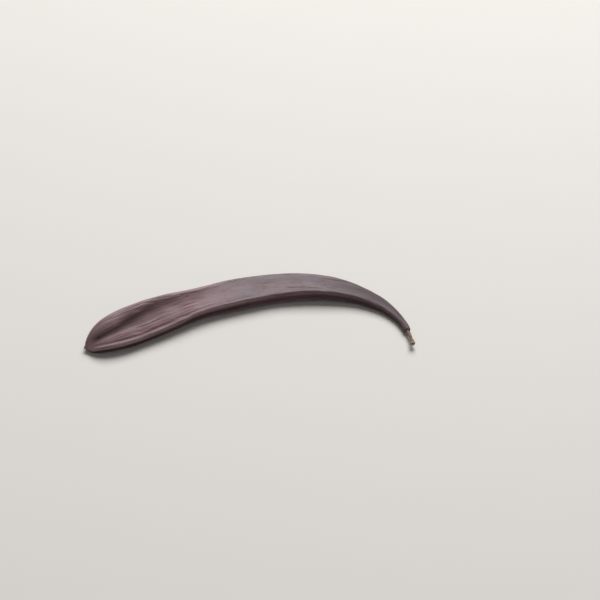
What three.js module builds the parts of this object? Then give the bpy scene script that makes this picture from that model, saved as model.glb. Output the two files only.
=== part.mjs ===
// A ripe carob pod, dried on the tree and picked with a stub of its stalk. It is a long flat fruit that
// bends like a sickle, with a thick furrowed seam along each edge and low swellings over its seeds. It
// lies on one face, a little twisted, and touches the surface at three low spots.
// Millimetres, +Z up, +X from the tip towards the stalk. The origin is under the middle, on the surface.

import * as THREE from "three";

const { degToRad, lerp, smoothstep } = THREE.MathUtils;

// The pod's size and bend. A place along it runs from 0 at the tip to 1 at the stalk.
const POD_LENGTH = 178; // along the bent middle line
const POD_WIDTH = 20; // from seam to seam, at the broadest
const POD_THICKNESS = 7; // from face to face
const TIP_HEADING = 26.9; // degrees from +X to the middle line at the tip
const BEND = 99.4; // degrees that the middle line has turned by the stalk
const BEND_POWER = 3.15; // how the turn gathers towards the stalk
const SWAY = 1.2; // degrees that the middle line swings to one side and back
const SAG = { at: 0.7, spread: 0.18, depth: 1.8 }; // where the arch of the middle line sinks inwards, and how far
const BEND_STEPS = 60; // straight steps that the middle line is summed from

// How the pod narrows, as shares of its width and thickness.
const TIP_TAPER = 0.15; // place where the tip's round taper ends
const TIP_THINNING = 0.1; // place where the tip has its full thickness
const BODY_TAPER = { from: 0.345, to: 0.695, loss: 0.248 };
const STALK_TAPER = { from: 0.6, to: 1.02, loss: 0.573 };
const STALK_THINNING = { from: 0.66, to: 1, loss: 0.51 };
const SHOULDER = { length: 0.02, share: 0.88 }; // the rounding of the end that holds the stalk
const WAIST = { at: 0.343, spread: 0.094, loss: 0.195 }; // the narrow place where a seed failed
const BEAK = { length: 1, radius: 1.4 }; // what is left of the flower's style at the tip

// How the pod lies: the outer seam is raised at the tip, and a little lower than the inner one by the stalk.
const TIP_TILT = 20.5;
const STALK_TILT = -2;
const TWIST = { from: 0.18, to: 0.49 };
const SPOTS = { first: 0.14, apart: 0.38 }; // places of the three low spots
const ARCH = 0.7; // how far the pod rises between the spots
const END_HEIGHT = 2.3; // least height of the middle line, which the tip and the stalk's end keep to
const END_EASE = 1.2; // depth over which the middle line comes down to that height
const SETTLE = 0.6; // how far the pod is let down, so that each spot rests on a small flat
const EVEN_LEAN = 0.06; // sine of the tilt below which the pod rolls from one seam to the other

// The section: its seams, faces and seeds, across as a share of the half width and up in millimetres.
const TIP_FULLNESS = 1.9; // how squarely the faces turn into the seams of the broad blade at the tip
const NECK_FULLNESS = 1.15; // the same along the narrower half
const END_FULLNESS = 0.6; // the same at the stalk
const NECK = { from: 0.3, to: 0.55 };
const ROUNDING = { from: 0.84, to: 1 };
const FACE_HOLLOW = 0.14; // share of the thickness that the faces sink by in the middle
const LIP = { from: 0.6, to: 0.76, crest: 0.84, height: 0.45 }; // the thick margin along each seam
const VALLEY = { at: 0.56, spread: 0.09, depth: 0.4 }; // between a margin and the face
const FURROW = { depth: 0.75, half: 1.1 }; // along the middle of each seam
const SEEDS = { first: 0.1, pitch: 0.068, count: 12, failed: 5, height: 0.6, reach: 0.6 };
const RELIEF = { tip: 0.07, neckShare: 0.4, stalk: 0.9 }; // it is full on the blade and lower on the neck

// The stalk, which stands in a shallow cup in the pod's end.
const STALK_LENGTH = 10;
const STALK_RADIUS = 0.8;
const STALK_ROOT = 0.85; // radius where it enters the cup
const STALK_KNOB = 1.25; // radius of the end that broke off the branch
const STALK_TURN = -10; // degrees that the stalk bends on with the pod
const STALK_LIFT = 4; // degrees that the stalk rises
const CUP_DEPTH = 1.6;
const CUP_GAP = 0.3; // clearance between the stalk and the cup

// How finely the surfaces are divided.
const POD_SIDES = 40;
const POD_ROWS = 112;
const SEAM_CROWDING = 0.35; // how much closer the sides stand at the seams
const END_CROWDING = 0.85; // how much closer the rows stand at the ends
const STALK_SIDES = 14;
const STALK_STATIONS = 10; // stretches that the stalk's bend is divided into

const RIND = new THREE.MeshStandardMaterial({ color: "#574447", roughness: 0.5, metalness: 0 });
const WOOD = new THREE.MeshStandardMaterial({ color: "#7d6858", roughness: 0.8, metalness: 0 });

const bell = (x, { at, spread }) => Math.exp(-(((x - at) / spread) ** 2));
const loss = (s, { from, to, loss: share }) => share * smoothstep(s, from, to);
const roundNose = (share) => Math.sqrt(1 - (1 - Math.min(share, 1)) ** 2);

// The pod's middle line, level with the surface: it turns slowly at first, and fast near the stalk.
class MiddleLine extends THREE.Curve {
  heading(s) {
    return degToRad(TIP_HEADING - BEND * s ** BEND_POWER + SWAY * Math.sin(2 * Math.PI * s));
  }

  getPoint(s, point = new THREE.Vector3()) {
    const step = s / BEND_STEPS;
    point.set(0, 0, 0);
    for (let i = 0; i < BEND_STEPS; i++) {
      const heading = this.heading((i + 0.5) * step);
      point.x += Math.cos(heading) * step * POD_LENGTH;
      point.y += Math.sin(heading) * step * POD_LENGTH;
    }
    const sag = SAG.depth * bell(s, SAG);
    point.x += Math.sin(this.heading(s)) * sag;
    point.y -= Math.cos(this.heading(s)) * sag;
    return point;
  }
}

const middleLine = new MiddleLine();

// Share of the width and thickness that is left by the rounding at the stalk.
function shoulderAt(s) {
  return lerp(SHOULDER.share, 1, roundNose((1 - s) / SHOULDER.length));
}

function widthAt(s) {
  const body = 1 - loss(s, BODY_TAPER) - loss(s, STALK_TAPER);
  const waist = 1 - WAIST.loss * bell(s, WAIST);
  return POD_WIDTH * roundNose(s / TIP_TAPER) * shoulderAt(s) * body * waist;
}

function thicknessAt(s) {
  return POD_THICKNESS * roundNose(s / TIP_THINNING) * shoulderAt(s) * (1 - loss(s, STALK_THINNING));
}

function tiltAt(s) {
  return degToRad(lerp(TIP_TILT, STALK_TILT, smoothstep(s, TWIST.from, TWIST.to)));
}

// Height of the seed swellings at a place along the pod, from 0 between seeds to about 1 over a seed.
function seedSwelling(s) {
  const seed = Math.round((s - SEEDS.first) / SEEDS.pitch);
  const missing = seed < 0 || seed >= SEEDS.count || seed === SEEDS.failed;
  const ripeness = missing ? 0 : 0.8 + 0.2 * Math.sin(2.4 * seed + 1);
  return ripeness * Math.cos((Math.PI * (s - SEEDS.first)) / SEEDS.pitch) ** 2;
}

// How squarely the faces turn into the seams.
function fullnessAt(s) {
  const neck = lerp(TIP_FULLNESS, NECK_FULLNESS, smoothstep(s, NECK.from, NECK.to));
  return lerp(neck, END_FULLNESS, smoothstep(s, ROUNDING.from, ROUNDING.to));
}

// Share of the relief's full height.
function reliefAt(s) {
  const neck = lerp(1, RELIEF.neckShare, smoothstep(s, NECK.from, NECK.to));
  return smoothstep(s, 0, RELIEF.tip) * neck * (1 - smoothstep(s, RELIEF.stalk, 1));
}

// A point of the section at a place along the pod. The angle runs from 0 at the outer seam, over the
// upper face, to pi at the inner seam. across is towards the outer seam, and up from the middle plane.
function sectionPoint(s, angle) {
  const share = Math.cos(angle);
  const edge = Math.abs(share);
  const fullness = Math.tanh(fullnessAt(s) * Math.sin(angle)) / Math.tanh(fullnessAt(s));
  const fade = reliefAt(s);
  const hollow = 1 - fade * FACE_HOLLOW * (1 - share ** 2) ** 1.5;
  const seed = SEEDS.height * seedSwelling(s) * Math.max(0, 1 - (share / SEEDS.reach) ** 2) ** 2;
  const lip = LIP.height * smoothstep(edge, LIP.from, LIP.to);
  const relief = lip - VALLEY.depth * bell(edge, VALLEY) + seed;
  const up = fullness * ((thicknessAt(s) / 2) * hollow + fade * relief);
  const furrow = fade * FURROW.depth * Math.exp(-((up / FURROW.half) ** 2)) * edge ** 6;
  return { across: (widthAt(s) / 2) * share - furrow * Math.sign(share), up };
}

// Angles around the section, closer together at the two seams.
function sectionAngle(turn) {
  const angle = 2 * Math.PI * turn;
  return angle - (SEAM_CROWDING / 2) * Math.sin(2 * angle);
}

// How far the section reaches below the middle line, with one seam lower than the other.
function depthAt(s) {
  const lean = Math.hypot(Math.sin(tiltAt(s)), EVEN_LEAN);
  return (LIP.crest * widthAt(s) * lean + thicknessAt(s) * Math.cos(tiltAt(s))) / 2;
}

// Height of the middle line: it lets the section down to the surface at the three spots, and the pod
// rises between them.
function heightAt(s) {
  const depth = depthAt(s);
  const easing = Math.max(0, 1 - Math.abs(depth - END_HEIGHT) / END_EASE) ** 2;
  const eased = Math.max(depth, END_HEIGHT) + (END_EASE / 4) * easing;
  const arch = ARCH * Math.sin((Math.PI * (s - SPOTS.first)) / SPOTS.apart) ** 2;
  return eased + arch - SETTLE;
}

// The middle line's place, direction and level cross direction, which points towards the outer seam.
function stationAt(s) {
  const heading = middleLine.heading(s);
  return {
    centre: middleLine.getPoint(s).setZ(heightAt(s)),
    along: new THREE.Vector3(Math.cos(heading), Math.sin(heading), 0),
    outward: new THREE.Vector3(-Math.sin(heading), Math.cos(heading), 0),
  };
}

// One row of points round the pod's skin: the section at a place along the pod, shrunk by a share and
// moved along the pod. It starts and ends at the outer seam, and crosses the lower face first.
function skinRow({ s, share, shift }) {
  const { centre, along, outward } = stationAt(s);
  const tilt = tiltAt(s);
  const start = centre.addScaledVector(along, shift);
  return Array.from({ length: POD_SIDES + 1 }, (_, side) => {
    const { across, up } = sectionPoint(s, -sectionAngle(side / POD_SIDES));
    const level = across * Math.cos(tilt) - up * Math.sin(tilt);
    const height = across * Math.sin(tilt) + up * Math.cos(tilt);
    const point = start.clone().addScaledVector(outward, share * level);
    return point.setZ(Math.max(0, point.z + share * height));
  });
}

// The rows that close the pod's end: round its rim, over the rim and down into the stalk's cup.
function cupRows() {
  const mouth = (2 * (STALK_ROOT + CUP_GAP)) / Math.min(widthAt(1), thicknessAt(1));
  return [
    { s: 1, share: 1, shift: 0 },
    { s: 1, share: lerp(1, mouth, 0.5), shift: 0.25 },
    { s: 1, share: mouth, shift: 0.3 },
    { s: 1, share: mouth, shift: -CUP_DEPTH },
    { s: 1, share: 0, shift: -CUP_DEPTH },
  ];
}

function podRows() {
  const cup = cupRows();
  const bodyRows = POD_ROWS + 1 - cup.length;
  const body = Array.from({ length: bodyRows }, (_, row) => {
    const even = row / bodyRows;
    const s = lerp(even, (1 - Math.cos(Math.PI * even)) / 2, END_CROWDING);
    const beak = BEAK.length * Math.max(0, 1 - widthAt(s) / 2 / BEAK.radius);
    return { s, share: 1, shift: -beak };
  });
  return [...body, ...cup];
}

// A ball's grid of rows and sides, laid over the pod's skin: the ball's two poles become the tip and the
// cup's floor.
function podGeometry() {
  const blank = new THREE.SphereGeometry(1, POD_SIDES, POD_ROWS);
  blank.setFromPoints(podRows().flatMap(skinRow));
  blank.computeVertexNormals();
  return blank;
}

// The stalk turned about +Y: its root, its slender middle, and the knob with the scar where it broke off.
function stalkBlank() {
  const outline = [
    [0, -CUP_DEPTH + CUP_GAP],
    [STALK_ROOT * 0.9, -CUP_DEPTH + CUP_GAP],
    [STALK_ROOT, 0],
  ];
  for (let i = 1; i < STALK_STATIONS; i++) {
    const share = i / STALK_STATIONS;
    const waist = lerp(STALK_ROOT, STALK_RADIUS, smoothstep(share, 0, 0.4));
    outline.push([lerp(waist, STALK_KNOB, smoothstep(share, 0.6, 0.95)), share * STALK_LENGTH]);
  }
  outline.push([STALK_KNOB * 0.85, STALK_LENGTH]);
  outline.push([STALK_KNOB * 0.5, STALK_LENGTH - 0.3]);
  outline.push([0, STALK_LENGTH - 0.4]);
  return new THREE.LatheGeometry(
    outline.map(([radius, along]) => new THREE.Vector2(radius, along)),
    STALK_SIDES,
  );
}

// Bends the turned stalk on from the end of the middle line, in an arc that rises a little.
function stalkGeometry() {
  const geometry = stalkBlank();
  const position = geometry.getAttribute("position");
  const { centre } = stationAt(1);
  const blankPoint = new THREE.Vector3();
  for (let i = 0; i < position.count; i++) {
    blankPoint.fromBufferAttribute(position, i);
    const bentShare = Math.max(0, blankPoint.y) / STALK_LENGTH;
    const heading = middleLine.heading(1) + degToRad(STALK_TURN) * bentShare;
    const chordHeading = (middleLine.heading(1) + heading) / 2;
    const climb = Math.tan(degToRad(STALK_LIFT)) * Math.max(0, blankPoint.y);
    position.setXYZ(
      i,
      centre.x + Math.cos(chordHeading) * blankPoint.y + Math.sin(heading) * blankPoint.x,
      centre.y + Math.sin(chordHeading) * blankPoint.y - Math.cos(heading) * blankPoint.x,
      centre.z + climb + blankPoint.z,
    );
  }
  geometry.computeVertexNormals();
  return geometry;
}

function namedMesh(name, geometry, material) {
  const mesh = new THREE.Mesh(geometry, material);
  mesh.name = name;
  return mesh;
}

const carob = new THREE.Group();
carob.add(namedMesh("pod", podGeometry(), RIND), namedMesh("stalk", stalkGeometry(), WOOD));

// Puts the origin under the middle of the whole.
const middle = new THREE.Box3().setFromObject(carob).getCenter(new THREE.Vector3());
carob.position.set(-middle.x, -middle.y, 0);

export default carob;
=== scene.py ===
"""A ripe carob pod with a stub of its stalk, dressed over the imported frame.

Both pieces are skins swept along a bent middle line. The script works out stations along that line, and one
Geometry Nodes tree lays the skin over them, with its seams, seed swellings and drying wrinkles.
Lengths are in metres, and a place along the pod runs from 0 at the tip to 1 at the stalk.
"""

import math
from functools import partial

import bpy
from bpy.props import FloatProperty, FloatVectorProperty, IntProperty, PointerProperty
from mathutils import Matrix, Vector


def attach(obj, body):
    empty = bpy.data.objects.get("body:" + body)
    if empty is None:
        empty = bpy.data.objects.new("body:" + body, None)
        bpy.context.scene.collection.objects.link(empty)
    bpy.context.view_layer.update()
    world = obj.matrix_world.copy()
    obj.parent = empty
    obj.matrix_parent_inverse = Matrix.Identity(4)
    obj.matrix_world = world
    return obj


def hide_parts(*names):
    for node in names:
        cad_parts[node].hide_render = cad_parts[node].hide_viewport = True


bl_info = {
    "name": "Carob Pod",
    "version": (1, 0, 0),
    "blender": (4, 5, 0),
    "location": "3D View > Sidebar > Carob",
    "description": "Makes a dried carob pod with a stub of its stalk",
    "category": "Object",
}

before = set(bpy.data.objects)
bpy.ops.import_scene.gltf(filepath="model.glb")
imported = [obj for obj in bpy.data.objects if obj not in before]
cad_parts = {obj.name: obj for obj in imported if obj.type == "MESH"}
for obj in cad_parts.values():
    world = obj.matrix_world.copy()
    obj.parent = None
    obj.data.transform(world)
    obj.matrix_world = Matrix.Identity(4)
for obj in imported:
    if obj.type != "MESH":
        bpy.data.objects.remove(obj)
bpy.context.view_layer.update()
POD_TIP = min((v.co.copy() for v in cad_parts["pod"].data.vertices), key=lambda co: co.x)

MM = 0.001
BODY = "root"

# The middle line: how its turn gathers towards the stalk, how far it swings to one side and back, and where
# its arch sinks inwards.
BEND_POWER = 3.15
SWAY = math.radians(1.2)
SAG = {"at": 0.7, "spread": 0.18, "depth": 1.8 * MM}

# How the pod narrows, as places along it and shares of its width or thickness. The beak is what is left of
# the flower's style.
TIP_TAPER = 0.15
TIP_THINNING = 0.1
BODY_TAPER = {"low": 0.345, "high": 0.695, "loss": 0.248}
STALK_TAPER = {"low": 0.6, "high": 1.02, "loss": 0.573}
STALK_THINNING = {"low": 0.66, "high": 1.0, "loss": 0.51}
SHOULDER = {"length": 0.02, "share": 0.88}
WAIST = {"at": 0.343, "spread": 0.094, "loss": 0.195}
BEAK = {"length": 1.0 * MM, "radius": 1.4 * MM}

# How the pod lies: it twists from one seam to the other, and rests on three low spots.
TIP_TILT = math.radians(20.5)
STALK_TILT = math.radians(-2)
TWIST = {"low": 0.18, "high": 0.49}
FIRST_SPOT = 0.14
SPOTS_APART = 0.38
ARCH = 0.7 * MM
END_HEIGHT = 2.3 * MM
END_EASE = 1.2 * MM
SETTLE = 0.6 * MM
EVEN_LEAN = 0.06

# The section: how squarely its faces turn into the seams, how far they sink in the middle, and where all
# relief on it fades.
TIP_SQUARENESS = 2.8
NECK_SQUARENESS = 2.3
END_SQUARENESS = 0.6
NECK = {"low": 0.3, "high": 0.55}
ROUNDING = {"low": 0.84, "high": 1.0}
FACE_HOLLOW = 0.1
HOLLOW_POWER = 3.0
RELIEF = {"tip": 0.04, "neck_share": 0.4, "stalk": 0.9}

# The lip along each seam: its crest as a share of the half width, its foot and top as shares of its breadth.
LIP_CREST = 0.84
LIP_FOOT = 0.1
LIP_TOP = 0.65

# The valley between a lip and the face, at the rim's distance from the seam. Across the pod, from -1 at the
# inner seam to 1 at the outer one, the inner side's sizes pass into the outer side's.
OUTER_SIDE = (-0.45, 0.05)
RIM = {"tip": 9.2 * MM, "neck": 4.7 * MM, "low": 0.05, "high": 0.26, "most": 0.95}
INNER_RIM = 2.8 * MM
LIP_FLANK = 1.6 * MM
FACE_FLANK = 7.5 * MM
# How far the valley's painted shade reaches onto the face.
SHADE_FLANK = 3.2 * MM
INNER_FLANK = 0.6 * MM
GUTTER = {"low": 0.14, "high": 0.46, "neck": 0.12}
INNER_GUTTER = 0.3

# The seams' walls and furrows, and the seeds, across as shares of the half width.
WALL = (0.96, 1.0)
FURROW_POWER = 6.0
SEED_REACH = 0.6
SEEDS = {"first": 0.1, "pitch": 0.068, "count": 12, "failed": 5}
RIPENESS = {"mean": 0.8, "swing": 0.2, "turn": 2.4, "start": 1}

# The drying wrinkles: how many times longer than broad they are, and where the skin shrank most.
PLEAT_STRETCH = 14.0
RIDGE_STRETCH = 6.0
FOLD_STRETCH = 8.5
DENT_STRETCH = 1.8
WRINKLED = {"tip": 0.05, "stalk": 0.93, "loss": 0.6}
SHRUNK = (0.4, 0.65, 0.15, 1.0)
SHRUNK_LIP = 0.12

# Noise keeps within half a unit of its mean, so its gain makes a full depth of it.
NOISE_MEAN = 0.5
NOISE_GAIN = 2

# How broad the folds are: open in the skin's shape, and narrow in the finish, which draws their bottoms.
OPEN_FOLD = 0.12
SHUT_FOLD = 0.04
FINE_FOLD = 0.06

# Real sizes of the patterns, across, up and along the pod. Pores are drawn coarser than real ones, to show.
PUCKERS = (1.5 * MM, 1.5 * MM, 8 * MM)
STREAKS = (0.7 * MM, 0.7 * MM, 14 * MM)
PATCHES = (7 * MM, 7 * MM, 16 * MM)
HAZE = (9 * MM, 9 * MM, 40 * MM)
PORES = (0.35 * MM, 0.35 * MM, 0.7 * MM)
FINE_LINES = (1.2 * MM, 1.2 * MM, 5 * MM)
FIBRES = (0.2 * MM, 0.2 * MM, 3.5 * MM)
ROLLER_MOTTLE = 30 * MM

# Distances from the tip between which the rind's finish changes.
# Where the tip is paled with painted highlight.
LIT_TIP = (28 * MM, 6 * MM)
# Where the greying of bloom and painted sheen thins out towards the tip.
LESS_SHEEN_BLADE = (88 * MM, 50 * MM)
# Where the neck darkens with painted shade and grows duller.
SHADED_NECK = (115 * MM, 155 * MM)

# The rind's layers: where a pattern starts to show the layer, where it shows it in full, and from how much to
# how much of it.
MOTTLED = (0.98, 1.32, 0.0, 1.0)
# Bloom, partly painted sheen.
BLOOM_AND_SHEEN = (0.52, 0.82, 0.0, 0.9)
# The lips' and the tip's paleness: partly rubbed wear, partly painted highlight.
RUBBED_AND_LIT = (0.1, 0.55, 0.0, 0.9)
ROUGHNESS = (0.3, 0.7, 0.44, 0.56)

# How much one pattern or stretch of the pod adds to a layer of the rind.
STREAKED_MOTTLE = 1.3
STREAKED_BLOOM = 0.5
# How much the blade is spared the bloom and painted sheen.
BLADE_BLOOM_AND_SHEEN = -0.35
# Painted highlight on the tip.
TIP_HIGHLIGHT = 0.7
# How the streaks spread the neck's painted shade.
NECK_SHADE_STREAKS = (-0.9, 1.2)
# Painted shade on the seam walls.
WALL_SHADE = 0.9
# Painted shade in folds, fine lines, furrows and valleys, at most this dark.
FOLD_SHADE = 0.32
FINE_SHADE = 0.1
DEEPEST_SHADE = 0.95
NECK_DULLNESS = 0.14
VALLEY_DULLNESS = 0.35

# Heights of the finest relief, in millimetres.
RIND_BUMP = {"streak": 0.16, "fold": -0.08, "fine": -0.035, "pore": -0.03}
WOOD_BUMP = {"fibre": 0.14, "split": -0.1}

# The stalk: its root inside the pod, its slender middle and its knob as shares of its length, the hollow
# where it broke off, and the wood that shows there. A radius is a share of the root's or the knob's.
STALK_ROOT = ((-1.3 * MM, 0.0), (-1.2 * MM, 0.9))
STALK_MIDDLE = {"low": 0.0, "high": 0.4}
STALK_KNOB = {"low": 0.6, "high": 0.95}
STALK_BREAK = ((0.0, 0.85), (-0.3 * MM, 0.5), (-0.4 * MM, 0.0))
STALK_SQUARENESS = 0.1
BARK_SHADE = (0.35, 0.65)
SPLIT_SHADE = -0.7
SCAR_SHADE = (0.1, 0.5)
PITH = {"low": 0.15, "high": 0.5}
FRAY = 1.2 * MM
FRAY_EDGE = 0.1 * MM

# The stations that the skin is swept over, closer together towards the ends, and the rings that close the
# pod's end: a share of the section, and how many millimetres beyond the end it lies.
POD_STATIONS = 520
POD_SIDES = 176
STALK_STATIONS = 110
STALK_SIDES = 72
END_CROWDING = 0.6
SEAM_CROWDING = 0.35
CLOSING_RINGS = ((0.93, 0.3), (0.8, 0.5), (0.6, 0.45), (0.3, 0.1), (0, -0.3))
MERGE_DISTANCE = 0.002 * MM
STATION_VALUES = (
    "along",
    "half_width",
    "half_thickness",
    "lean",
    "relief",
    "squareness",
    "swelling",
    "wrinkling",
    "rim",
    "gutter",
    "grain_width",
    "grain_thickness",
)
STATION_VECTORS = ("centre", "outward")
SKIN_SIZES = (
    "Lip height",
    "Valley depth",
    "Furrow depth",
    "Furrow half",
    "Seed height",
    "Pleat spacing",
    "Pleat stretch",
    "Pleat depth",
    "Fold spacing",
    "Fold depth",
    "Dent spacing",
    "Dent depth",
    "Pucker depth",
)

# The stage: half the floor's side, the softbox, and the nearest thing that the camera can see.
FLOOR_HALF = 2.0
SOFTBOX_SIZE = 1.2
SOFTBOX_PLACE = (0.25, 1.15, 1.45)
NEAREST = 0.01


def linear(code):
    """The linear colour of an sRGB hex code."""
    shares = [int(code[i : i + 2], 16) / 255 for i in (1, 3, 5)]
    return [s / 12.92 if s <= 0.04045 else ((s + 0.055) / 1.055) ** 2.4 for s in shares] + [1.0]


def size(name, description, default):
    """A length that a user may change."""
    return FloatProperty(
        name=name, description=description, default=default, min=0, unit="LENGTH", precision=5
    )


def turn(name, description, default):
    """An angle that a user may change, given in degrees."""
    return FloatProperty(
        name=name, description=description, default=math.radians(default), subtype="ANGLE"
    )


def paint(name, description, code):
    """A colour that a user may change."""
    return FloatVectorProperty(
        name=name, description=description, default=linear(code), size=4, subtype="COLOR"
    )


class PodSettings(bpy.types.PropertyGroup):
    """Sizes of the pod."""

    length: size("Length", "Along the bent middle line", 178 * MM)
    width: size("Width", "From seam to seam at the broadest", 20 * MM)
    thickness: size("Thickness", "From face to face", 7 * MM)
    tip_heading: turn("Tip heading", "From +X to the middle line at the tip", 26.9)
    bend: turn("Bend", "Turn of the middle line by the stalk", 99.4)
    lip_height: size("Lip height", "Ridge along both sides of each seam", 0.55 * MM)
    valley_depth: size("Valley depth", "Hollow between a lip and the face", 0.55 * MM)
    furrow_depth: size("Furrow depth", "Groove along the middle of each seam", 0.9 * MM)
    furrow_half: size("Furrow half width", "Half the breadth of that groove", 0.8 * MM)
    seed_height: size("Seed height", "Swelling of the faces over each seed", 0.3 * MM)
    pleat_spacing: size("Pleat spacing", "Between the lengthwise drying wrinkles", 2.1 * MM)
    pleat_depth: size("Pleat depth", "Depth of the lengthwise wrinkles", 0.15 * MM)
    fold_spacing: size("Fold spacing", "Between the sharper folds", 3 * MM)
    fold_depth: size("Fold depth", "Depth of those folds", 0.16 * MM)
    dent_spacing: size("Dent spacing", "Between the broad dents from drying", 9 * MM)
    dent_depth: size("Dent depth", "Depth of those dents", 0.16 * MM)
    pucker_depth: size("Pucker depth", "Depth of the small puckers between folds", 0.12 * MM)
    seed: IntProperty(name="Random seed", description="Lays the wrinkles out anew", default=4)


class StalkSettings(bpy.types.PropertyGroup):
    """Sizes of the stalk."""

    length: size("Length", "Of the stub beyond the pod", 10 * MM)
    radius: size("Radius", "At the slender middle", 0.8 * MM)
    root_radius: size("Root radius", "Where it leaves the pod", 0.85 * MM)
    knob_radius: size("Knob radius", "At the end that broke off the branch", 1.25 * MM)
    turn_on: turn("Turn", "Bend along the stub, against the pod's own bend where above zero", -10)
    lift: turn("Lift", "Rise along the stub", 4)
    ridge_spacing: size("Ridge spacing", "Between the wood's lengthwise ridges", 0.9 * MM)
    ridge_depth: size("Ridge depth", "Depth of those ridges", 0.16 * MM)
    split_spacing: size("Split spacing", "Between the splits of the dry bark", 0.6 * MM)
    split_depth: size("Split depth", "Depth of those splits", 0.08 * MM)
    knot_spacing: size("Knot spacing", "Between the low knots", 2.5 * MM)
    knot_height: size("Knot height", "Height of those knots", 0.15 * MM)
    pucker_depth: size("Pucker depth", "Depth of the small puckers between splits", 0.05 * MM)


class FinishSettings(bpy.types.PropertyGroup):
    """Colours of the pod and the stalk."""

    rind: paint("Rind", "Leathery skin between wrinkles", "#8b696f")
    rind_deep: paint("Deep rind", "Darker patches of the skin", "#69494f")
    # Partly waxy bloom, partly painted sheen: the skin is greyed towards this colour, most beyond the blade.
    bloom: paint("Bloom", "Grey waxy bloom on the skin", "#61575b")
    # Painted shade: this darker colour stands in for shade on the skin towards the stalk.
    neck: paint("Neck", "Bare skin towards the stalk", "#534246")
    # Painted shade: the seam walls are darkened with this deep maroon to stand in for the shade that falls on
    # them.
    seam: paint("Seam", "Sides along the two seams", "#451a20")
    # Painted shade: the bottoms of creases, furrows and valleys darken towards this colour.
    crease_shade: paint("Crease", "Bottoms of creases and furrows", "#2f1317")
    # Partly rubbed wear, partly painted highlight: the lips are paled towards this colour, and the tip too.
    worn_and_lit_lip: paint("Worn lip", "Rubbed ridges of the seams", "#90777a")
    wood: paint("Wood", "Dry skin of the stalk", "#9c856f")
    wood_deep: paint("Deep wood", "Grooves of the stalk", "#5f4c40")
    scar: paint("Scar", "Broken wood at the stalk's end", "#b79f80")


class StageSettings(bpy.types.PropertyGroup):
    """Floor, light and camera."""

    floor: paint("Floor", "Pale matt floor", "#dedad5")
    key_power: FloatProperty(name="Key light", description="Power of the softbox", default=42, unit="POWER")
    fill: FloatProperty(name="Fill", description="Strength of the surrounding light", default=0.18)
    elevation: turn("Elevation", "Of the camera above the floor", 46)
    distance: size("Distance", "From the camera to the point it looks at", 0.9)
    focal: FloatProperty(name="Focal length", description="Of the camera", default=108, unit="CAMERA")
    aim: FloatVectorProperty(
        name="Aim",
        description="Point on the floor at the picture's middle",
        default=(24.6 * MM, 12.04 * MM, 0),
        subtype="TRANSLATION",
        unit="LENGTH",
    )


class CarobSettings(bpy.types.PropertyGroup):
    """All settings of the carob pod."""

    pod: PointerProperty(type=PodSettings)
    stalk: PointerProperty(type=StalkSettings)
    finish: PointerProperty(type=FinishSettings)
    stage: PointerProperty(type=StageSettings)


def lerp(a, b, share):
    return a + (b - a) * share


def smoothstep(x, low, high):
    t = min(max((x - low) / (high - low), 0), 1)
    return t * t * (3 - 2 * t)


def loss_at(place, low, high, loss):
    return loss * smoothstep(place, low, high)


def bell(x, at, spread):
    return math.exp(-(((x - at) / spread) ** 2))


def round_nose(share):
    return math.sqrt(1 - (1 - min(share, 1)) ** 2)


def ahead_of(heading):
    return Vector((math.cos(heading), math.sin(heading), 0))


def outward_of(heading):
    return Vector((-math.sin(heading), math.cos(heading), 0))


def heading_at(pod, place):
    """Direction of the middle line, from +X."""
    return pod.tip_heading - pod.bend * place**BEND_POWER + SWAY * math.sin(math.tau * place)


def shoulder_at(place):
    """Share of the width and thickness that is left by the rounding at the stalk."""
    return lerp(SHOULDER["share"], 1, round_nose((1 - place) / SHOULDER["length"]))


def body_width(pod, place):
    """Width before the two ends are rounded."""
    body = 1 - loss_at(place, **BODY_TAPER) - loss_at(place, **STALK_TAPER)
    waist = 1 - WAIST["loss"] * bell(place, WAIST["at"], WAIST["spread"])
    return pod.width * body * waist


def body_thickness(pod, place):
    """Thickness before the two ends are rounded."""
    return pod.thickness * (1 - loss_at(place, **STALK_THINNING))


def width_at(pod, place):
    return body_width(pod, place) * round_nose(place / TIP_TAPER) * shoulder_at(place)


def thickness_at(pod, place):
    return body_thickness(pod, place) * round_nose(place / TIP_THINNING) * shoulder_at(place)


def tilt_at(place):
    return lerp(TIP_TILT, STALK_TILT, smoothstep(place, **TWIST))


def height_at(pod, place):
    """Height of the middle line, which lets the section down to the surface at the three spots."""
    tilt = tilt_at(place)
    lean = math.hypot(math.sin(tilt), EVEN_LEAN)
    depth = (LIP_CREST * width_at(pod, place) * lean + thickness_at(pod, place) * math.cos(tilt)) / 2
    easing = max(0, 1 - abs(depth - END_HEIGHT) / END_EASE) ** 2
    arch = ARCH * math.sin(math.pi * (place - FIRST_SPOT) / SPOTS_APART) ** 2
    return max(depth, END_HEIGHT) + END_EASE / 4 * easing + arch - SETTLE


def squareness_at(place):
    """How squarely the faces turn into the seams."""
    neck = lerp(TIP_SQUARENESS, NECK_SQUARENESS, smoothstep(place, **NECK))
    return lerp(neck, END_SQUARENESS, smoothstep(place, **ROUNDING))


def relief_at(place):
    """Share of the seams' and seeds' full height."""
    neck = lerp(1, RELIEF["neck_share"], smoothstep(place, **NECK))
    return smoothstep(place, 0, RELIEF["tip"]) * neck * (1 - smoothstep(place, RELIEF["stalk"], 1))


def rim_at(pod, place):
    """Distance of the outer valley from the seam, which is greatest near the tip."""
    rim = lerp(RIM["tip"], RIM["neck"], smoothstep(place, RIM["low"], RIM["high"]))
    return min(rim, RIM["most"] * width_at(pod, place) / 2)


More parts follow.
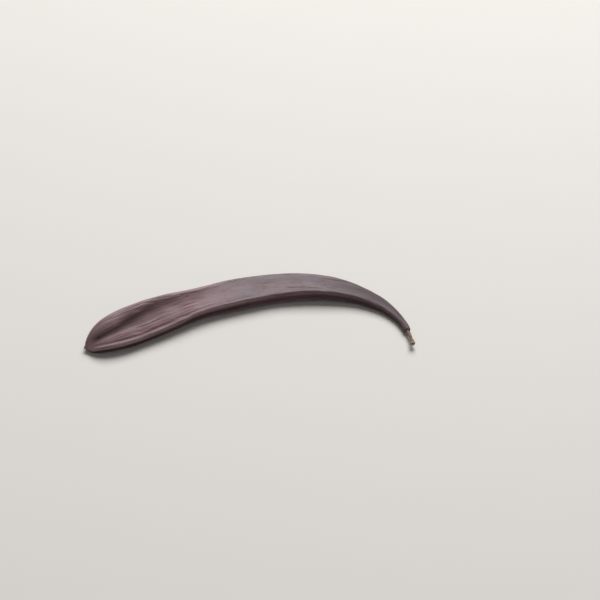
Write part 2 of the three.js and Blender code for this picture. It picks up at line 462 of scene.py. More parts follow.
def gutter_at(place):
    """Share of the outer valley's full depth."""
    neck = lerp(1, GUTTER["neck"], smoothstep(place, GUTTER["low"], GUTTER["high"]))
    return smoothstep(place, 0, RELIEF["tip"]) * neck * (1 - smoothstep(place, RELIEF["stalk"], 1))


def swelling_at(place):
    """Swelling over the seeds, from 0 between two of them to about 1."""
    seed = round((place - SEEDS["first"]) / SEEDS["pitch"])
    missing = seed < 0 or seed >= SEEDS["count"] or seed == SEEDS["failed"]
    swing = RIPENESS["swing"] * math.sin(RIPENESS["turn"] * seed + RIPENESS["start"])
    ripeness = 0 if missing else RIPENESS["mean"] + swing
    return ripeness * math.cos(math.pi * (place - SEEDS["first"]) / SEEDS["pitch"]) ** 2


def wrinkling_at(place):
    """Share of the wrinkles' full depth."""
    stalk = WRINKLED["loss"] * smoothstep(place, WRINKLED["stalk"], 1)
    return smoothstep(place, 0, WRINKLED["tip"]) * (1 - stalk)


def pod_stations(pod):
    """Stations from the tip to the stalk, where the skin closes round the stalk's root."""
    evens = [i / POD_STATIONS for i in range(POD_STATIONS + 1)]
    places = [lerp(e, (1 - math.cos(math.pi * e)) / 2, END_CROWDING) for e in evens]
    middle = POD_TIP + BEAK["length"] * ahead_of(heading_at(pod, 0))
    stations = []
    before = 0
    for place in places:
        middle = middle + (place - before) * pod.length * ahead_of(heading_at(pod, (before + place) / 2))
        before = place
        heading = heading_at(pod, place)
        outward = outward_of(heading)
        half_width = width_at(pod, place) / 2
        beak = BEAK["length"] * max(0, 1 - half_width / BEAK["radius"])
        sag = SAG["depth"] * bell(place, SAG["at"], SAG["spread"])
        centre = middle - beak * ahead_of(heading) - sag * outward
        centre.z = height_at(pod, place)
        stations.append(
            {
                "centre": centre,
                "outward": outward,
                "along": place * pod.length,
                "half_width": half_width,
                "half_thickness": thickness_at(pod, place) / 2,
                "lean": tilt_at(place),
                "relief": relief_at(place),
                "squareness": squareness_at(place),
                "swelling": swelling_at(place),
                "wrinkling": wrinkling_at(place),
                "rim": rim_at(pod, place),
                "gutter": gutter_at(place),
                "grain_width": body_width(pod, place) / 2,
                "grain_thickness": body_thickness(pod, place) / 2,
            }
        )
    end = stations[-1]
    for share, shift in CLOSING_RINGS:
        closing = dict(end)
        closing["centre"] = end["centre"] + shift * MM * ahead_of(heading)
        closing["half_width"] = share * end["half_width"]
        closing["half_thickness"] = share * end["half_thickness"]
        stations.append(closing)
    return stations


def stalk_stations(pod, stalk):
    """Stations from inside the pod's end to the scar where the stalk broke off."""
    end = pod_stations(pod)[POD_STATIONS]
    start = heading_at(pod, 1)
    profile = [(along, share * stalk.root_radius) for along, share in STALK_ROOT]
    for i in range(STALK_STATIONS + 1):
        share = i / STALK_STATIONS
        middle = lerp(stalk.root_radius, stalk.radius, smoothstep(share, **STALK_MIDDLE))
        knob = lerp(middle, stalk.knob_radius, smoothstep(share, **STALK_KNOB))
        profile.append((share * stalk.length, knob))
    profile += [(stalk.length + inside, share * stalk.knob_radius) for inside, share in STALK_BREAK]
    stations = []
    for along, radius in profile:
        out = max(0, along)
        heading = start + stalk.turn_on * out / stalk.length
        centre = end["centre"] + along * ahead_of((start + heading) / 2)
        centre.z += math.tan(stalk.lift) * out
        station = dict.fromkeys(STATION_VALUES, 0)
        station.update(
            centre=centre,
            outward=outward_of(heading),
            along=along,
            half_width=radius,
            half_thickness=radius,
            grain_width=radius,
            grain_thickness=radius,
            squareness=STALK_SQUARENESS,
            wrinkling=1,
        )
        stations.append(station)
    return stations


def add_node(tree, kind, inputs=(), **settings):
    """Adds a node with its settings. An input is a value, a socket, or a node whose first output is meant."""
    node = tree.nodes.new(kind)
    for name, value in settings.items():
        setattr(node, name, value)
    sockets = [socket for socket in node.inputs if socket.enabled]
    pairs = inputs.items() if isinstance(inputs, dict) else enumerate(inputs)
    for key, source in pairs:
        socket = sockets[key] if isinstance(key, int) else next(s for s in sockets if s.name == key)
        if isinstance(source, bpy.types.Node):
            source = next(output for output in source.outputs if output.enabled)
        if isinstance(source, bpy.types.NodeSocket):
            tree.links.new(source, socket)
        else:
            socket.default_value = source
    return node


def fading(add, distance, reach):
    """A bell across a groove or valley: 1 along its bottom, fading out over the reach given."""
    share = add("ShaderNodeMath", [distance, reach], operation="DIVIDE")
    share = add("ShaderNodeMath", [share, 2.0], operation="POWER")
    share = add("ShaderNodeMath", [share, -1.0], operation="MULTIPLY")
    return add("ShaderNodeMath", [share], operation="EXPONENT")


def fold_lines(add, grain, spacing, seed, width):
    """Folds that the skin made as it dried: 1 along the bottom of each, and 0 beyond the width given."""
    at = add("ShaderNodeVectorMath", [grain, spacing], operation="DIVIDE")
    fold = add(
        "ShaderNodeTexNoise",
        {"Vector": at, "W": seed, "Scale": 1.0, "Detail": 2.0, "Distortion": 0.3},
        noise_dimensions="4D",
    )
    fold = add("ShaderNodeMath", [fold, NOISE_MEAN], operation="SUBTRACT")
    fold = add("ShaderNodeMath", [fold], operation="ABSOLUTE")
    return add("ShaderNodeMapRange", [fold, width, 0.0], interpolation_type="SMOOTHSTEP")


def skin_tree():
    """The tree that sweeps a section along a chain of stations and wrinkles the skin."""
    tree = bpy.data.node_groups.new("swept skin", "GeometryNodeTree")
    tree.interface.new_socket("Skin", in_out="OUTPUT", socket_type="NodeSocketGeometry")
    tree.interface.new_socket("Stations", in_out="INPUT", socket_type="NodeSocketGeometry")
    for name in ("Sides", "Seed"):
        tree.interface.new_socket(name, in_out="INPUT", socket_type="NodeSocketInt")
    for name in SKIN_SIZES:
        tree.interface.new_socket(name, in_out="INPUT", socket_type="NodeSocketFloat")
    tree.interface.new_socket("Material", in_out="INPUT", socket_type="NodeSocketMaterial")
    add = partial(add_node, tree)
    sizes = add("NodeGroupInput").outputs
    value = {n: add("GeometryNodeInputNamedAttribute", [n]) for n in STATION_VALUES}
    centre = add("GeometryNodeInputNamedAttribute", ["centre"], data_type="FLOAT_VECTOR")
    outward = add("GeometryNodeInputNamedAttribute", ["outward"], data_type="FLOAT_VECTOR")

    # A ring of points, closer together at the two seams, carried along the chain.
    ring = add("GeometryNodeCurvePrimitiveCircle", {"Resolution": sizes["Sides"]}, mode="RADIUS")
    even = add("ShaderNodeMath", [add("GeometryNodeSplineParameter"), math.tau], operation="MULTIPLY")
    twice = add("ShaderNodeMath", [even, 2.0], operation="MULTIPLY")
    sway = add("ShaderNodeMath", [twice], operation="SINE")
    crowded = add("ShaderNodeMath", [sway, -SEAM_CROWDING / 2, even], operation="MULTIPLY_ADD")
    ring = add("GeometryNodeStoreNamedAttribute", {"Geometry": ring, "Name": "angle", "Value": crowded})
    chain = add("GeometryNodeMeshToCurve", [sizes["Stations"]])
    skin = add("GeometryNodeCurveToMesh", {"Curve": chain, "Profile Curve": ring})

    # The faces: square at the seams, a little hollow in the middle.
    angle = add("GeometryNodeInputNamedAttribute", ["angle"])
    share = add("ShaderNodeMath", [angle], operation="COSINE")
    rise = add("ShaderNodeMath", [angle], operation="SINE")
    edge = add("ShaderNodeMath", [share], operation="ABSOLUTE")
    steep = add("ShaderNodeMath", [value["squareness"], rise], operation="MULTIPLY")
    steep = add("ShaderNodeMath", [steep], operation="TANH")
    steepest = add("ShaderNodeMath", [value["squareness"]], operation="TANH")
    fullness = add("ShaderNodeMath", [steep, steepest], operation="DIVIDE")
    sunken = add("ShaderNodeMath", [rise], operation="ABSOLUTE")
    sunken = add("ShaderNodeMath", [sunken, HOLLOW_POWER], operation="POWER")
    sunken = add("ShaderNodeMath", [sunken, value["relief"]], operation="MULTIPLY")
    left = add("ShaderNodeMath", [sunken, -FACE_HOLLOW, 1.0], operation="MULTIPLY_ADD")
    face = add("ShaderNodeMath", [value["half_thickness"], left], operation="MULTIPLY")

    # The lip beside each seam.
    outer = add("ShaderNodeMapRange", [share, *OUTER_SIDE], interpolation_type="SMOOTHSTEP")
    rim = add("ShaderNodeMix", [outer, INNER_RIM, value["rim"]])
    inset = add("ShaderNodeMath", [1.0, edge], operation="SUBTRACT")
    inset = add("ShaderNodeMath", [inset, value["half_width"]], operation="MULTIPLY")
    off = add("ShaderNodeMath", [rim, inset], operation="SUBTRACT")
    lip = add("ShaderNodeMath", [off, rim], operation="DIVIDE")
    lip = add("ShaderNodeMapRange", [lip, LIP_FOOT, LIP_TOP], interpolation_type="SMOOTHSTEP")
    lip = add("ShaderNodeMath", [lip, value["relief"]], operation="MULTIPLY")
    seams = add("ShaderNodeMath", [lip, sizes["Lip height"]], operation="MULTIPLY")

    # The valley inside it, steep on the lip's side. The painted shade along it is narrower than the valley
    # itself.
    lip_side = add("ShaderNodeMath", [off, 0.0], operation="GREATER_THAN")
    inner_gutter = add("ShaderNodeMath", [value["gutter"], INNER_GUTTER], operation="MULTIPLY")
    gutter = add("ShaderNodeMix", [outer, inner_gutter, value["gutter"]])
    valleys = []
    for face_flank in (SHADE_FLANK, FACE_FLANK):
        flank = add("ShaderNodeMix", [lip_side, face_flank, LIP_FLANK])
        flank = add("ShaderNodeMix", [outer, INNER_FLANK, flank])
        valley = fading(add, off, flank)
        valleys.append(add("ShaderNodeMath", [valley, gutter], operation="MULTIPLY"))
    valley_shade, valley = valleys
    valley = add("ShaderNodeMath", [valley, sizes["Valley depth"]], operation="MULTIPLY")
    seams = add("ShaderNodeMath", [seams, valley], operation="SUBTRACT")

    # The swellings over the seeds.
    reach = add("ShaderNodeMath", [share, SEED_REACH], operation="DIVIDE")
    reach = add("ShaderNodeMath", [reach, 2.0], operation="POWER")
    reach = add("ShaderNodeMath", [1.0, reach], operation="SUBTRACT")
    reach = add("ShaderNodeMath", [reach, 0.0], operation="MAXIMUM")
    reach = add("ShaderNodeMath", [reach, 2.0], operation="POWER")
    seeds = add("ShaderNodeMath", [reach, value["swelling"]], operation="MULTIPLY")
    seeds = add("ShaderNodeMath", [seeds, value["relief"]], operation="MULTIPLY")
    relief = add("ShaderNodeMath", [seeds, sizes["Seed height"], seams], operation="MULTIPLY_ADD")
    relief = add("ShaderNodeMath", [relief, face], operation="ADD")
    up = add("ShaderNodeMath", [fullness, relief], operation="MULTIPLY")

    # The furrow that splits each seam.
    furrow = fading(add, up, sizes["Furrow half"])
    at_seam = add("ShaderNodeMath", [edge, FURROW_POWER], operation="POWER")
    furrow = add("ShaderNodeMath", [furrow, at_seam], operation="MULTIPLY")
    furrow = add("ShaderNodeMath", [furrow, value["relief"]], operation="MULTIPLY")
    depth = add("ShaderNodeMath", [furrow, sizes["Furrow depth"]], operation="MULTIPLY")
    side = add("ShaderNodeMath", [share], operation="SIGN")
    depth = add("ShaderNodeMath", [depth, side], operation="MULTIPLY")
    across = add("ShaderNodeMath", [value["half_width"], share], operation="MULTIPLY")
    across = add("ShaderNodeMath", [across, depth], operation="SUBTRACT")

    # The section tilted and set on its station.
    cosine = add("ShaderNodeMath", [value["lean"]], operation="COSINE")
    sine = add("ShaderNodeMath", [value["lean"]], operation="SINE")
    drop = add("ShaderNodeMath", [up, sine], operation="MULTIPLY")
    level = add("ShaderNodeMath", [across, cosine], operation="MULTIPLY")
    level = add("ShaderNodeMath", [level, drop], operation="SUBTRACT")
    lift = add("ShaderNodeMath", [up, cosine], operation="MULTIPLY")
    height = add("ShaderNodeMath", [across, sine, lift], operation="MULTIPLY_ADD")
    place = add("ShaderNodeVectorMath", {"Vector": outward, "Scale": level}, operation="SCALE")
    place = add("ShaderNodeVectorMath", [place, centre], operation="ADD")
    place = add("ShaderNodeVectorMath", [place, add("ShaderNodeCombineXYZ", {"Z": height})], operation="ADD")

    # What the finish reads: the place on the straightened pod, across, up and along, and the skin's parts.
    sideways = add("ShaderNodeMath", [share, value["grain_width"]], operation="MULTIPLY")
    upward = add("ShaderNodeMath", [fullness, value["grain_thickness"]], operation="MULTIPLY")
    grain = add("ShaderNodeCombineXYZ", [sideways, upward, value["along"]])
    skin = add(
        "GeometryNodeStoreNamedAttribute",
        {"Geometry": skin, "Name": "grain", "Value": grain},
        data_type="FLOAT_VECTOR",
    )
    wall = add("ShaderNodeMapRange", [edge, *WALL], interpolation_type="SMOOTHSTEP")
    for name, part in {"lip": lip, "furrow": furrow, "wall": wall, "valley": valley_shade}.items():
        skin = add("GeometryNodeStoreNamedAttribute", {"Geometry": skin, "Name": name, "Value": part})
    skin = add("GeometryNodeSetPosition", {"Geometry": skin, "Position": place})
    skin = add("GeometryNodeMergeByDistance", {"Geometry": skin, "Distance": MERGE_DISTANCE})

    # Drying wrinkles: long pleats, and sharper folds where the skin shrank most.
    laid = add("GeometryNodeInputNamedAttribute", ["grain"], data_type="FLOAT_VECTOR")
    long = add("ShaderNodeMath", [sizes["Pleat spacing"], sizes["Pleat stretch"]], operation="MULTIPLY")
    pleat = add("ShaderNodeCombineXYZ", [sizes["Pleat spacing"], sizes["Pleat spacing"], long])
    pleat = add("ShaderNodeVectorMath", [laid, pleat], operation="DIVIDE")
    pleat = add(
        "ShaderNodeTexNoise",
        {"Vector": pleat, "W": sizes["Seed"], "Scale": 1.0, "Detail": 1.0, "Distortion": 0.15},
        noise_dimensions="4D",
    )
    pleat = add("ShaderNodeMath", [pleat, NOISE_MEAN], operation="SUBTRACT")
    long = add("ShaderNodeMath", [sizes["Fold spacing"], FOLD_STRETCH], operation="MULTIPLY")
    fold = add("ShaderNodeCombineXYZ", [sizes["Fold spacing"], sizes["Fold spacing"], long])
    fold = fold_lines(add, laid, fold, sizes["Seed"], OPEN_FOLD)
    shrunk = add("ShaderNodeVectorMath", [laid, PATCHES], operation="DIVIDE")
    shrunk = add("ShaderNodeTexNoise", {"Vector": shrunk, "Scale": 1.0, "Detail": 3.0, "Roughness": 0.55})
    shrunk = add("ShaderNodeMath", [lip, SHRUNK_LIP, shrunk], operation="MULTIPLY_ADD")
    shrunk = add("ShaderNodeMapRange", [shrunk, *SHRUNK], interpolation_type="SMOOTHSTEP")
    skin = add("GeometryNodeStoreNamedAttribute", {"Geometry": skin, "Name": "shrunk", "Value": shrunk})
    fold = add("ShaderNodeMath", [fold, shrunk], operation="MULTIPLY")
    fold = add("ShaderNodeMath", [fold, sizes["Fold depth"]], operation="MULTIPLY")

    # Broad dents, and small puckers between the folds.
    long = add("ShaderNodeMath", [sizes["Dent spacing"], DENT_STRETCH], operation="MULTIPLY")
    dent = add("ShaderNodeCombineXYZ", [sizes["Dent spacing"], sizes["Dent spacing"], long])
    dent = add("ShaderNodeVectorMath", [laid, dent], operation="DIVIDE")
    dent = add(
        "ShaderNodeTexNoise",
        {"Vector": dent, "W": sizes["Seed"], "Scale": 1.0, "Detail": 1.0},
        noise_dimensions="4D",
    )
    dent = add("ShaderNodeMath", [dent, NOISE_MEAN], operation="SUBTRACT")
    pucker = add("ShaderNodeVectorMath", [laid, PUCKERS], operation="DIVIDE")
    pucker = add(
        "ShaderNodeTexNoise",
        {"Vector": pucker, "W": sizes["Seed"], "Scale": 1.0, "Detail": 2.0},
        noise_dimensions="4D",
    )
    pucker = add("ShaderNodeMath", [pucker, NOISE_MEAN], operation="SUBTRACT")
    amount = add("ShaderNodeMath", [pleat, sizes["Pleat depth"]], operation="MULTIPLY")
    amount = add("ShaderNodeMath", [dent, sizes["Dent depth"], amount], operation="MULTIPLY_ADD")
    amount = add("ShaderNodeMath", [pucker, sizes["Pucker depth"], amount], operation="MULTIPLY_ADD")
    amount = add("ShaderNodeMath", [amount, fold], operation="SUBTRACT")
    amount = add("ShaderNodeMath", [amount, value["wrinkling"]], operation="MULTIPLY")
    normal = add("GeometryNodeInputNormal")
    push = add("ShaderNodeVectorMath", {"Vector": normal, "Scale": amount}, operation="SCALE")
    skin = add("GeometryNodeSetPosition", {"Geometry": skin, "Offset": push})

    # Nothing of the skin goes below the surface that the pod lies on.
    split = add("ShaderNodeSeparateXYZ", [add("GeometryNodeInputPosition")])
    floor = add("ShaderNodeMath", [split.outputs["Z"], 0.0], operation="MAXIMUM")
    rested = add("ShaderNodeCombineXYZ", [split.outputs["X"], split.outputs["Y"], floor])
    skin = add("GeometryNodeSetPosition", {"Geometry": skin, "Position": rested})
    skin = add("GeometryNodeSetShadeSmooth", [skin])
    skin = add("GeometryNodeRealizeInstances", [skin])
    skin = add("GeometryNodeSetMaterial", {"Geometry": skin, "Material": sizes["Material"]})
    add("NodeGroupOutput", [skin])
    return tree


def swept_piece(name, stations, sizes):
    """Sweeps a skin over the stations and returns the finished piece, a plain mesh at the origin."""
    chain = bpy.data.meshes.new(name)
    links = [(i, i + 1) for i in range(len(stations) - 1)]
    chain.from_pydata([station["centre"] for station in stations], links, [])
    for value in STATION_VALUES:
        attribute = chain.attributes.new(value, "FLOAT", "POINT")
        attribute.data.foreach_set("value", [station[value] for station in stations])
    for value in STATION_VECTORS:
        attribute = chain.attributes.new(value, "FLOAT_VECTOR", "POINT")
        attribute.data.foreach_set("vector", [x for station in stations for x in station[value]])
    piece = bpy.data.objects.new(name, chain)
    bpy.context.scene.collection.objects.link(piece)
    modifier = piece.modifiers.new("skin", "NODES")
    modifier.node_group = skin_tree()
    for socket in modifier.node_group.interface.items_tree:
        if socket.name in sizes:
            modifier[socket.identifier] = sizes[socket.name]
    skin = bpy.data.meshes.new_from_object(piece.evaluated_get(bpy.context.evaluated_depsgraph_get()))
    piece.modifiers.remove(modifier)
    piece.data = skin
    skin.name = name
    for value in (*STATION_VALUES, *STATION_VECTORS, "angle"):
        skin.attributes.remove(skin.attributes[value])
    if not skin.polygons:
        raise RuntimeError(f"the skin of {name} is empty")
    return piece


def new_material(name):
    """A material with an empty tree, and the function that adds nodes to it."""
    material = bpy.data.materials.new(name)
    material.use_nodes = True
    material.node_tree.nodes.clear()
    return material, partial(add_node, material.node_tree)


def rind_material(finish, pod):
    """Dried carob rind: a leathery skin that shrank as the pulp dried. It is satin, purple-brown and mottled,
    with fine lengthwise streaks and a thin grey bloom that is partly painted sheen; painted shade darkens its
    creases, valleys, seam walls and neck, and its lips are paler from rubbing and painted highlight, its tip
    from painted highlight."""
    material, add = new_material("dried carob rind")
    grain = add("ShaderNodeAttribute", attribute_name="grain").outputs["Vector"]
    lip = add("ShaderNodeAttribute", attribute_name="lip").outputs["Fac"]
    furrow = add("ShaderNodeAttribute", attribute_name="furrow").outputs["Fac"]
    wall = add("ShaderNodeAttribute", attribute_name="wall").outputs["Fac"]
    valley = add("ShaderNodeAttribute", attribute_name="valley").outputs["Fac"]
    shrunk = add("ShaderNodeAttribute", attribute_name="shrunk").outputs["Fac"]

    # The patterns, and the stretches of the pod that have a finish of their own.
    streak = add("ShaderNodeVectorMath", [grain, STREAKS], operation="DIVIDE")
    streak = add("ShaderNodeTexNoise", {"Vector": streak, "Scale": 1.0, "Detail": 4.0, "Roughness": 0.6})
    patch = add("ShaderNodeVectorMath", [grain, PATCHES], operation="DIVIDE")
    patch = add("ShaderNodeTexNoise", {"Vector": patch, "Scale": 1.0, "Detail": 3.0, "Roughness": 0.55})
    haze = add("ShaderNodeVectorMath", [grain, HAZE], operation="DIVIDE")
    haze = add("ShaderNodeTexNoise", {"Vector": haze, "Scale": 1.0, "Detail": 4.0, "Roughness": 0.6})
    pore = add("ShaderNodeVectorMath", [grain, PORES], operation="DIVIDE")
    pore = add("ShaderNodeTexVoronoi", {"Vector": pore, "Scale": 1.0}, feature="SMOOTH_F1")
    spacing = (pod.fold_spacing, pod.fold_spacing, FOLD_STRETCH * pod.fold_spacing)
    fold = fold_lines(add, grain, spacing, pod.seed, SHUT_FOLD)
    fold = add("ShaderNodeMath", [fold, shrunk], operation="MULTIPLY")
    fine = fold_lines(add, grain, FINE_LINES, pod.seed, FINE_FOLD)
    fine = add("ShaderNodeMath", [fine, shrunk], operation="MULTIPLY")
    along = add("ShaderNodeSeparateXYZ", [grain]).outputs["Z"]
    tip = add("ShaderNodeMapRange", [along, *LIT_TIP], interpolation_type="SMOOTHSTEP")
    blade = add("ShaderNodeMapRange", [along, *LESS_SHEEN_BLADE], interpolation_type="SMOOTHSTEP")
    neck = add("ShaderNodeMapRange", [along, *SHADED_NECK], interpolation_type="SMOOTHSTEP")

    # The mottled skin, with a grey bloom that is partly real and partly painted sheen, thinner on the blade.
    mottle = add("ShaderNodeMath", [streak, STREAKED_MOTTLE, patch], operation="MULTIPLY_ADD")
    mottle = add("ShaderNodeMapRange", [mottle, *MOTTLED])
    colour = add(
        "ShaderNodeMix",
        {"Factor": mottle, "A": finish.rind_deep, "B": finish.rind},
        data_type="RGBA",
    )
    bloom_and_sheen = add("ShaderNodeMath", [blade, BLADE_BLOOM_AND_SHEEN, haze], operation="MULTIPLY_ADD")
    bloom_and_sheen = add("ShaderNodeMath", [streak, STREAKED_BLOOM, bloom_and_sheen], operation="MULTIPLY_ADD")
    bloom_and_sheen = add("ShaderNodeMapRange", [bloom_and_sheen, *BLOOM_AND_SHEEN])
    colour = add("ShaderNodeMix", {"Factor": bloom_and_sheen, "A": colour, "B": finish.bloom}, data_type="RGBA")

    # Wear and painted light: the lips are paler along the streaks, partly from rubbing and partly with
    # painted highlight, the tip is paler with painted highlight, and the neck is darkened with painted shade.
    rubbed_and_lit = add("ShaderNodeMath", [tip, TIP_HIGHLIGHT, lip], operation="MULTIPLY_ADD")
    rubbed_and_lit = add("ShaderNodeMath", [streak, rubbed_and_lit], operation="MULTIPLY")
    rubbed_and_lit = add("ShaderNodeMapRange", [rubbed_and_lit, *RUBBED_AND_LIT])
    colour = add("ShaderNodeMix", {"Factor": rubbed_and_lit, "A": colour, "B": finish.worn_and_lit_lip}, data_type="RGBA")
    # Painted shade: the neck is darkened along the streaks towards the stalk.
    painted_neck_shade = add("ShaderNodeMath", [streak, *NECK_SHADE_STREAKS], operation="MULTIPLY_ADD")
    painted_neck_shade = add("ShaderNodeMath", [painted_neck_shade, neck], operation="MULTIPLY")
    colour = add("ShaderNodeMix", {"Factor": painted_neck_shade, "A": colour, "B": finish.neck}, data_type="RGBA")

    # Painted shade: the walls of the seams are darkened with deep maroon, and the bottoms of folds, furrows
    # and valleys with the crease colour.
    seam = add("ShaderNodeMath", [wall, WALL_SHADE], operation="MULTIPLY")
    colour = add("ShaderNodeMix", {"Factor": seam, "A": colour, "B": finish.seam}, data_type="RGBA")
    # Painted shade in the creases: fold lines, furrows and valleys darken towards the crease colour.
    painted_crease_shade = add("ShaderNodeMath", [fold, FOLD_SHADE], operation="MULTIPLY")
    painted_crease_shade = add("ShaderNodeMath", [fine, FINE_SHADE, painted_crease_shade], operation="MULTIPLY_ADD")
    painted_crease_shade = add("ShaderNodeMath", [painted_crease_shade, furrow], operation="MAXIMUM")
    painted_crease_shade = add("ShaderNodeMath", [painted_crease_shade, valley], operation="MAXIMUM")
    painted_crease_shade = add("ShaderNodeMath", [painted_crease_shade, DEEPEST_SHADE], operation="MULTIPLY")
    colour = add("ShaderNodeMix", {"Factor": painted_crease_shade, "A": colour, "B": finish.crease_shade}, data_type="RGBA")

    # Gloss, which is duller on the neck and in the valleys, and the finest relief.
    rough = add("ShaderNodeMapRange", [patch, *ROUGHNESS])
    rough = add("ShaderNodeMath", [neck, NECK_DULLNESS, rough], operation="MULTIPLY_ADD")
    rough = add("ShaderNodeMath", [valley, VALLEY_DULLNESS, rough], operation="MULTIPLY_ADD")
    height = add("ShaderNodeMath", [streak, RIND_BUMP["streak"]], operation="MULTIPLY")
    height = add("ShaderNodeMath", [fold, RIND_BUMP["fold"], height], operation="MULTIPLY_ADD")
    height = add("ShaderNodeMath", [fine, RIND_BUMP["fine"], height], operation="MULTIPLY_ADD")
    height = add("ShaderNodeMath", [pore, RIND_BUMP["pore"], height], operation="MULTIPLY_ADD")
    bump = add("ShaderNodeBump", {"Strength": 1.0, "Distance": 1 * MM, "Height": height})
    surface = add(
        "ShaderNodeBsdfPrincipled",
        {
            "Base Color": colour,
            "Roughness": rough,
            "Normal": bump,
            "IOR": 1.46,
            "Sheen Weight": 0.12,
            "Sheen Roughness": 0.4,
        },
    )
    add("ShaderNodeOutputMaterial", [surface])
    return material


def wood_material(finish, stalk, seed):
    """Dry stalk wood: the thin grey-brown skin of a green twig that dried hard, matt and ridged lengthwise,
    with pale fibres where it broke."""
    material, add = new_material("dry carob stalk")
    grain = add("ShaderNodeAttribute", attribute_name="grain").outputs["Vector"]
    fibre = add("ShaderNodeVectorMath", [grain, FIBRES], operation="DIVIDE")
    fibre = add("ShaderNodeTexNoise", {"Vector": fibre, "Scale": 1.0, "Detail": 4.0, "Roughness": 0.65})
    spacing = (stalk.split_spacing, stalk.split_spacing, FOLD_STRETCH * stalk.split_spacing)
    split = fold_lines(add, grain, spacing, seed, FINE_FOLD)
    shade = add("ShaderNodeMapRange", [fibre, *BARK_SHADE])
    shade = add("ShaderNodeMath", [split, SPLIT_SHADE, shade], operation="MULTIPLY_ADD", use_clamp=True)
    bark = add("ShaderNodeMix", {"Factor": shade, "A": finish.wood_deep, "B": finish.wood}, data_type="RGBA")

    # The broken end: pale wood round a darker pith, with a frayed edge.
    radius = add("ShaderNodeVectorMath", [grain, (1, 1, 0)], operation="MULTIPLY")
    radius = add("ShaderNodeVectorMath", [radius], operation="LENGTH").outputs["Value"]
    pith = (PITH["low"] * stalk.knob_radius, PITH["high"] * stalk.knob_radius)
    pale = add("ShaderNodeMapRange", [radius, *pith])
    pale = add("ShaderNodeMath", [fibre, pale], operation="MULTIPLY")
    pale = add("ShaderNodeMapRange", [pale, *SCAR_SHADE])
    end = add("ShaderNodeMix", {"Factor": pale, "A": finish.wood_deep, "B": finish.scar}, data_type="RGBA")
    along = add("ShaderNodeSeparateXYZ", [grain]).outputs["Z"]
    frayed = add("ShaderNodeMath", [fibre, FRAY, along], operation="MULTIPLY_ADD")
    broken = add("ShaderNodeMapRange", [frayed, stalk.length - FRAY_EDGE, stalk.length + FRAY_EDGE])
    colour = add("ShaderNodeMix", {"Factor": broken, "A": bark, "B": end}, data_type="RGBA")
    height = add("ShaderNodeMath", [fibre, WOOD_BUMP["fibre"]], operation="MULTIPLY")
    height = add("ShaderNodeMath", [split, WOOD_BUMP["split"], height], operation="MULTIPLY_ADD")
    bump = add("ShaderNodeBump", {"Strength": 1.0, "Distance": 1 * MM, "Height": height})
    surface = add(
        "ShaderNodeBsdfPrincipled",
        {"Base Color": colour, "Roughness": 0.75, "Normal": bump, "IOR": 1.5},
    )
    add("ShaderNodeOutputMaterial", [surface])
    return material


def floor_material(stage):
    """Matt painted board: even and pale, with a faint mottle from the roller."""
    material, add = new_material("matt painted board")
    spot = add("ShaderNodeTexCoord").outputs["Object"]
    mottle = add("ShaderNodeTexNoise", {"Vector": spot, "Scale": 1 / ROLLER_MOTTLE, "Detail": 2.0})
    rough = add("ShaderNodeMapRange", {"Value": mottle, "To Min": 0.8, "To Max": 0.9})
    surface = add("ShaderNodeBsdfPrincipled", {"Base Color": stage.floor, "Roughness": rough})
    add("ShaderNodeOutputMaterial", [surface])
    return material


class CAROB_OT_pod(bpy.types.Operator):
    """Sweeps the pod's skin and puts it in the place of the frame's pod."""

    bl_idname = "carob.pod"
    bl_label = "Pod"

    def execute(self, context):
        carob = context.scene.carob
        pod = carob.pod
        sizes = {
            "Sides": POD_SIDES,
            "Seed": pod.seed,
            "Lip height": pod.lip_height,
            "Valley depth": pod.valley_depth,
            "Furrow depth": pod.furrow_depth,
            "Furrow half": pod.furrow_half,
            "Seed height": pod.seed_height,
            "Pleat spacing": pod.pleat_spacing,
            "Pleat stretch": PLEAT_STRETCH,
            "Pleat depth": NOISE_GAIN * pod.pleat_depth,
            "Fold spacing": pod.fold_spacing,
            "Fold depth": pod.fold_depth,
            "Dent spacing": pod.dent_spacing,
            "Dent depth": NOISE_GAIN * pod.dent_depth,
            "Pucker depth": pod.pucker_depth,
            "Material": rind_material(carob.finish, pod),
        }
        piece = swept_piece("carob_pod", pod_stations(pod), sizes)
        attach(piece, BODY)
        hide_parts("pod")
        return {"FINISHED"}


class CAROB_OT_stalk(bpy.types.Operator):
    """Sweeps the stub of stalk out of the pod's end."""

    bl_idname = "carob.stalk"
    bl_label = "Stalk"

    def execute(self, context):
        carob = context.scene.carob
        stalk = carob.stalk
        sizes = {
            "Sides": STALK_SIDES,
            "Seed": carob.pod.seed,
            "Pleat spacing": stalk.ridge_spacing,
            "Pleat stretch": RIDGE_STRETCH,
            "Pleat depth": NOISE_GAIN * stalk.ridge_depth,
            "Fold spacing": stalk.split_spacing,
            "Fold depth": stalk.split_depth,
            "Dent spacing": stalk.knot_spacing,
            "Dent depth": NOISE_GAIN * stalk.knot_height,
            "Pucker depth": stalk.pucker_depth,
            "Material": wood_material(carob.finish, stalk, carob.pod.seed),
        }
        piece = swept_piece("carob_stalk", stalk_stations(carob.pod, stalk), sizes)
        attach(piece, BODY)
        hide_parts("stalk")
        return {"FINISHED"}


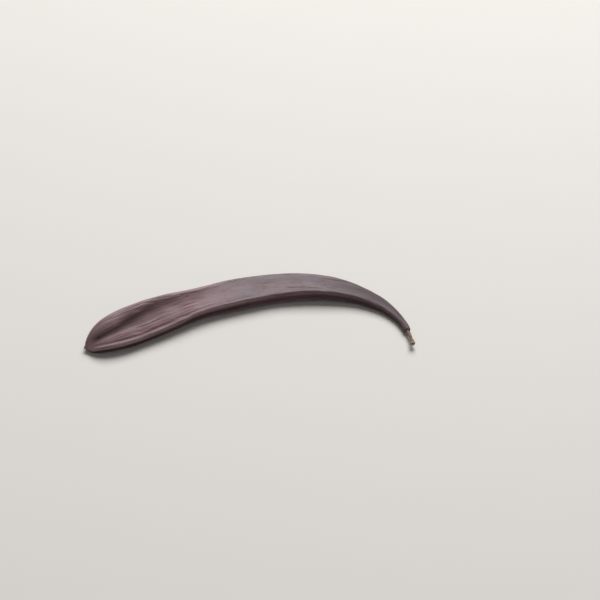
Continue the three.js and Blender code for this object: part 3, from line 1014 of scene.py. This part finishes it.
class CAROB_OT_stage(bpy.types.Operator):
    """Sets the pale floor, the soft light and the camera."""

    bl_idname = "carob.stage"
    bl_label = "Stage"

    def execute(self, context):
        scene = context.scene
        stage = scene.carob.stage
        board = bpy.data.meshes.new("floor")
        corners = [(x * FLOOR_HALF, y * FLOOR_HALF, 0) for x, y in ((-1, -1), (1, -1), (1, 1), (-1, 1))]
        board.from_pydata(corners, [], [(0, 1, 2, 3)])
        board.materials.append(floor_material(stage))
        floor = bpy.data.objects.new("floor", board)
        scene.collection.objects.link(floor)

        softbox = bpy.data.lights.new("softbox", "AREA")
        softbox.size = SOFTBOX_SIZE
        softbox.energy = stage.key_power
        key = bpy.data.objects.new("softbox", softbox)
        key.location = SOFTBOX_PLACE
        key.rotation_euler = (-key.location).to_track_quat("-Z", "Y").to_euler()
        scene.collection.objects.link(key)

        world = bpy.data.worlds.new("room")
        world.use_nodes = True
        world.node_tree.nodes.clear()
        room = add_node(
            world.node_tree,
            "ShaderNodeBackground",
            {"Color": (1, 1, 1, 1), "Strength": stage.fill},
        )
        add_node(world.node_tree, "ShaderNodeOutputWorld", [room])
        scene.world = world

        lens = bpy.data.cameras.new("camera")
        lens.lens = stage.focal
        lens.clip_start = NEAREST
        camera = bpy.data.objects.new("camera", lens)
        back = Vector((0, -math.cos(stage.elevation), math.sin(stage.elevation)))
        camera.location = Vector(stage.aim) + stage.distance * back
        camera.rotation_euler = (math.pi / 2 - stage.elevation, 0, 0)
        scene.collection.objects.link(camera)
        scene.camera = camera
        scene.view_settings.view_transform = "Standard"
        return {"FINISHED"}


class CAROB_PT_sidebar(bpy.types.Panel):
    """Lists the carob pod's steps and settings."""

    bl_idname = "CAROB_PT_sidebar"
    bl_label = "Carob Pod"
    bl_space_type = "VIEW_3D"
    bl_region_type = "UI"
    bl_category = "Carob"

    def draw(self, context):
        carob = context.scene.carob
        for operator, settings in (
            ("carob.stage", carob.stage),
            ("carob.pod", carob.pod),
            ("carob.stalk", carob.stalk),
        ):
            self.layout.operator(operator)
            column = self.layout.column(align=True)
            for name in settings.__annotations__:
                column.prop(settings, name)
        for name in carob.finish.__annotations__:
            self.layout.prop(carob.finish, name)


CLASSES = (
    PodSettings,
    StalkSettings,
    FinishSettings,
    StageSettings,
    CarobSettings,
    CAROB_OT_stage,
    CAROB_OT_pod,
    CAROB_OT_stalk,
    CAROB_PT_sidebar,
)


def register():
    for cls in CLASSES:
        bpy.utils.register_class(cls)
    bpy.types.Scene.carob = PointerProperty(type=CarobSettings)


def unregister():
    del bpy.types.Scene.carob
    for cls in reversed(CLASSES):
        bpy.utils.unregister_class(cls)


def main():
    register()
    bpy.ops.carob.stage()
    bpy.ops.carob.pod()
    bpy.ops.carob.stalk()


if __name__ == "__main__":
    main()
